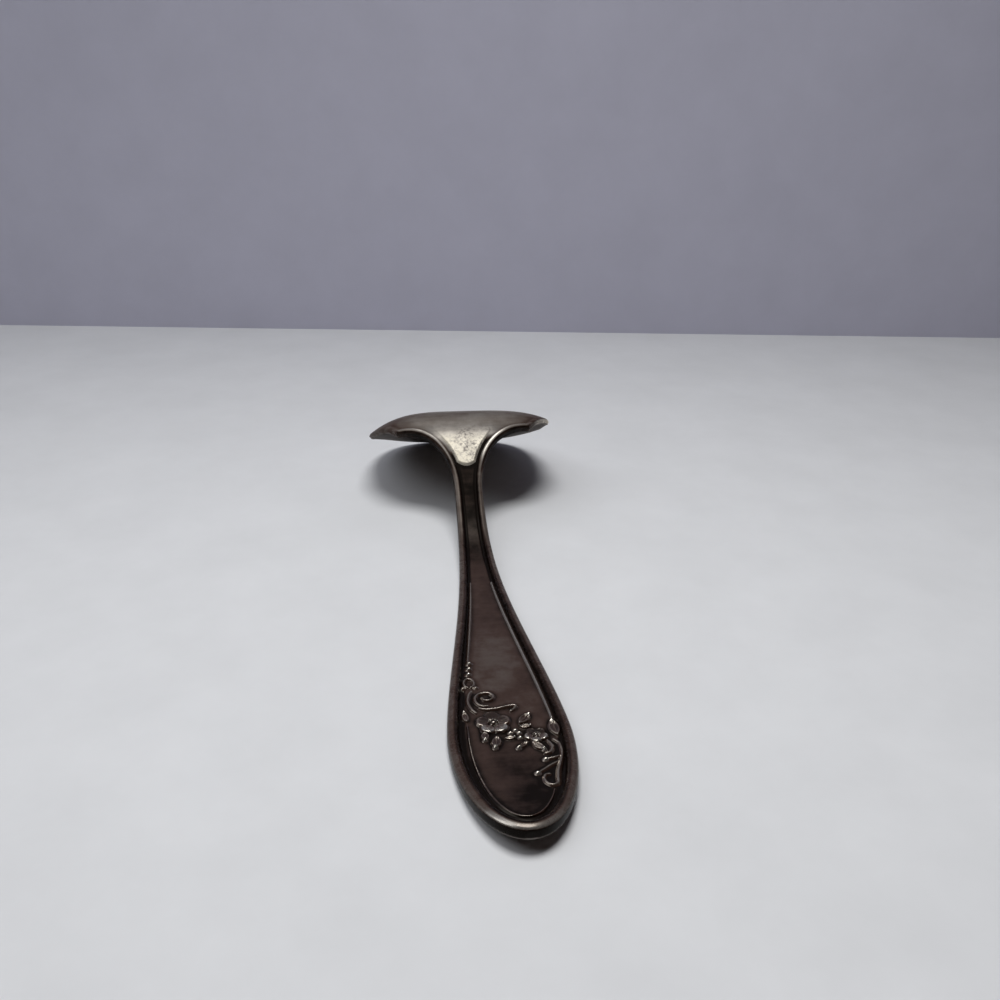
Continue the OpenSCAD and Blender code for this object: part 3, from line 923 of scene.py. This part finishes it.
def make_shoulder_ridges():
    path = np.concatenate([station_on_edge(waist_s), edge_path(waist_s + 0.01, shoulder_s + 4)])
    fades = ramp((path[:, 1] - (shoulder_s - 1.5)) / 4.5)
    loft("shoulder_ridges", both_sides(edge_strip(path, fades)))


# Materials

def new_node(tree, kind, inputs=None, **settings):
    """A shader node with its settings, and with each input set to a value or linked to a socket."""
    node = tree.nodes.new(kind)
    for name, value in settings.items():
        setattr(node, name, value)
    for name, value in (inputs or {}).items():
        if isinstance(value, bpy.types.NodeSocket):
            tree.links.new(value, node.inputs[name])
        else:
            node.inputs[name].default_value = value
    return node


def new_material(name):
    """A material with its tree of nodes and its main shader."""
    material = bpy.data.materials.new(name)
    material.use_nodes = True
    return material, material.node_tree, material.node_tree.nodes["Principled BSDF"]


def math_node(tree, operation, a, b, clamp=False):
    settings = {"operation": operation, "use_clamp": clamp}
    return new_node(tree, "ShaderNodeMath", {0: a, 1: b}, **settings).outputs[0]


def noise(tree, stretch, detail, roughness=0.6, turn=0.0):
    """Noise with that many lumps to a millimetre, along each axis."""
    place = new_node(tree, "ShaderNodeTexCoord").outputs["Object"]
    scaled = new_node(
        tree, "ShaderNodeMapping",
        {"Vector": place, "Scale": [v / MM for v in stretch], "Rotation": (0, 0, math.radians(turn))},
    ).outputs["Vector"]
    return new_node(
        tree, "ShaderNodeTexNoise",
        {"Vector": scaled, "Scale": 1, "Detail": detail, "Roughness": roughness},
    ).outputs["Fac"]


def between(tree, value, low, high, to_low, to_high):
    """A socket's value, carried from one range to another."""
    inputs = {"Value": value, "From Min": low, "From Max": high, "To Min": to_low, "To Max": to_high}
    return new_node(tree, "ShaderNodeMapRange", inputs).outputs["Result"]


def attribute(tree, name):
    return new_node(tree, "ShaderNodeAttribute", attribute_name=name).outputs["Fac"]


# The plate's colour by its tarnish
STOPS = [
    (0.0, (0.94, 0.90, 0.78)), (0.3, (0.48, 0.45, 0.41)), (0.55, (0.17, 0.157, 0.146)),
    (0.68, (0.072, 0.057, 0.05)), (0.8, (0.034, 0.0165, 0.012)), (1.0, (0.003, 0.0015, 0.001)),
]


def plated_metal(name, blotch, streak, in_hollow, off_proud, speckle, shine, density=1.5, lay=0):
    """Silver plate: bright where it is rubbed, brown where it is tarnished, black in the hollows.

    The first five numbers are how far each kind of mark shifts the tarnish. Lay is the streaks' angle.
    """
    material, tree, shader = new_material(name)
    worn_here = attribute(tree, "wear")
    blotches = between(tree, noise(tree, (0.2, 0.2, 0.2), 6), 0.3, 0.7, -blotch, blotch)
    streaks = between(tree, noise(tree, (0.12, 0.9, 0.9), 4, turn=lay), 0.3, 0.7, -streak, streak)
    patches = between(tree, noise(tree, (0.28, 0.28, 0.28), 3, turn=40), 0.4, 0.6, 0.3, 1.2)
    holes = between(tree, noise(tree, (1.3, 1.3, 1.3), 5, 0.75), 0.47, 0.66, 0, 1)
    pits = math_node(tree, "MULTIPLY", patches, holes)
    specks = math_node(tree, "MULTIPLY", pits, between(tree, worn_here, 0, 1, 0.08 * speckle, speckle))
    hollow = math_node(tree, "MULTIPLY", attribute(tree, "hollow"), in_hollow)
    proud = math_node(tree, "MULTIPLY", attribute(tree, "proud"), off_proud)
    dark = attribute(tree, "tarnish")
    for part in (blotches, streaks, specks, hollow):
        dark = math_node(tree, "ADD", dark, part)
    dark = math_node(tree, "SUBTRACT", dark, proud, clamp=True)
    ramp_node = new_node(tree, "ShaderNodeValToRGB", {"Fac": dark})
    elements = ramp_node.color_ramp.elements
    while len(elements) < len(STOPS):
        elements.new(0.5)
    for element, (position, colour) in zip(elements, STOPS):
        element.position = position
        element.color = (*colour, 1)
    tree.links.new(ramp_node.outputs["Color"], shader.inputs["Base Color"])
    tree.links.new(between(tree, dark, 0.3, 0.74, 1, 0), shader.inputs["Metallic"])
    tree.links.new(between(tree, dark, 0.72, 1, shine, 0.08), shader.inputs["Specular IOR Level"])
    shader.inputs["Specular Tint"].default_value = (1, 0.9, 0.78, 1)
    shader.inputs["IOR"].default_value = density
    fine = between(tree, noise(tree, (0.6, 0.6, 0.6), 4), 0.3, 0.7, -0.04, 0.04)
    tree.links.new(math_node(tree, "ADD", attribute(tree, "matt"), fine), shader.inputs["Roughness"])
    along = noise(tree, (6, 0.25, 6), 3, turn=6)
    across = noise(tree, (0.3, 7, 7), 3, turn=-15)
    scratches = math_node(tree, "MULTIPLY", math_node(tree, "ADD", along, across), 0.3)
    surface = math_node(tree, "SUBTRACT", scratches, specks)
    bump = new_node(tree, "ShaderNodeBump", {"Height": surface, "Strength": 0.09, "Distance": 0.03 * MM})
    tree.links.new(bump.outputs["Normal"], shader.inputs["Normal"])
    return material


MATERIALS = {
    "tarnished_plate": plated_metal(
        "tarnished_plate",
        blotch=0.07, streak=0.022, in_hollow=0.5, off_proud=0.1, speckle=0.3, shine=0.5, lay=62,
    ),
    "silver_plate": plated_metal(
        "silver_plate",
        blotch=0.06, streak=0.03, in_hollow=0.5, off_proud=0.08, speckle=0.15, shine=0.5,
    ),
    "worn_plate": plated_metal(
        "worn_plate",
        blotch=0.08, streak=0.03, in_hollow=0.4, off_proud=0.1, speckle=0.42, shine=0.6,
    ),
    "relief_plate": plated_metal(
        "relief_plate",
        blotch=0.05, streak=0.03, in_hollow=0.3, off_proud=0.24, speckle=0.2, shine=0.7, density=2,
    ),
}

make_handle()
make_stem()
make_neck()
make_blade()
make_handle_border()
make_stem_ridges()
make_shoulder_ridges()
for node in FORMS:
    pads(node)


# Camera at the photograph's angle; the image is taken as 1000 x 1000

IMAGE = 1000
camera_at = Vector((-18.57, -178.48, 106.18)) * MM
pitch, yaw, roll = (math.radians(v) for v in (-26, -7.252, 1.093))
camera = add_object("camera", bpy.data.cameras.new("camera"))
camera.data.sensor_width = camera.data.lens = 36
camera.data.clip_start = 0.005
camera.matrix_world = (
    Matrix.Translation(camera_at)
    @ Matrix.Rotation(yaw, 4, "Z")
    @ Matrix.Rotation(math.pi / 2 + pitch, 4, "X")
    @ Matrix.Rotation(roll, 4, "Z")
)
bpy.context.scene.camera = camera


def floor_point(pixel):
    """Where the camera's ray through a pixel meets the floor."""
    ray = Vector((pixel[0] / IMAGE - 0.5, 0.5 - pixel[1] / IMAGE, -1))
    way = camera.matrix_world.to_3x3() @ ray
    return camera_at - way * (camera_at.z / way.z)


# Stage: a pale floor, and a wall that meets it along the photograph's line

WALL_LEFT, WALL_RIGHT = (0, 325), (IMAGE, 338)


def sheet_of_stage(name, corners, colour):
    """A flat sheet of the stage that can't be seen from behind."""
    mesh = bpy.data.meshes.new(name)
    mesh.from_pydata([tuple(c) for c in corners], [], [(0, 1, 2, 3)])
    obj = add_object(name, mesh)
    material, tree, shader = new_material(name)
    grain = between(tree, noise(tree, (0.05, 0.05, 0.05), 4), 0.3, 0.7, 0.97, 1.03)
    tint = new_node(
        tree, "ShaderNodeMix", {"Factor": 1.0, "A": (*colour, 1)},
        data_type="RGBA", blend_type="MULTIPLY",
    )
    tree.links.new(grain, tint.inputs["B"])
    tree.links.new(tint.outputs["Result"], shader.inputs["Base Color"])
    shader.inputs["Roughness"].default_value = 0.8
    shader.inputs["Specular IOR Level"].default_value = 0.2
    back = new_node(tree, "ShaderNodeNewGeometry").outputs["Backfacing"]
    clear = new_node(tree, "ShaderNodeBsdfTransparent").outputs["BSDF"]
    mixed = new_node(tree, "ShaderNodeMixShader", {0: back, 1: shader.outputs["BSDF"], 2: clear})
    tree.links.new(mixed.outputs["Shader"], tree.nodes["Material Output"].inputs["Surface"])
    mesh.materials.append(material)


WIDE, WALL_HEIGHT = 2.0, 1.5
FLOOR_COLOUR, WALL_COLOUR = (0.71, 0.725, 0.75), (0.66, 0.66, 0.79)
floor_corners = [(WIDE * x, WIDE * y, 0) for x, y in ((-1, -1), (1, -1), (1, 1), (-1, 1))]
sheet_of_stage("floor", floor_corners, FLOOR_COLOUR)
left_foot, right_foot = floor_point(WALL_LEFT), floor_point(WALL_RIGHT)
along_wall = (right_foot - left_foot).normalized()
tall = Vector((0, 0, WALL_HEIGHT))
foot_a, foot_b = left_foot - WIDE * along_wall, right_foot + WIDE * along_wall
sheet_of_stage("wall", [foot_a, foot_b, foot_b + tall, foot_a + tall], WALL_COLOUR)


# Light: one soft lamp overhead, a broad weak panel to its left and a dim room

def area_lamp(name, place, aim, size, power, colour):
    lamp = bpy.data.lights.new(name, "AREA")
    lamp.shape = "DISK"
    lamp.size = size
    lamp.energy = power
    lamp.color = colour
    obj = add_object(name, lamp)
    obj.location = place
    obj.rotation_euler = (Vector(aim) - Vector(place)).to_track_quat("-Z", "Y").to_euler()


area_lamp(
    "overhead", place=(0, 0.045, 0.4), aim=(0.03, -0.5, 0),
    size=0.21, power=1.6, colour=(1, 0.992, 0.975),
)
area_lamp(
    "panel", place=(-0.42, 0.1, 0.52), aim=(0, -0.1, 0),
    size=0.6, power=1.5, colour=(0.97, 0.985, 1),
)
ROOM_COLOUR = (0.018, 0.011, 0.008)
world = bpy.data.worlds.new("room")
world.use_nodes = True
world.node_tree.nodes["Background"].inputs["Color"].default_value = (*ROOM_COLOUR, 1)
bpy.context.scene.world = world
bpy.context.scene.view_settings.view_transform = "Standard"
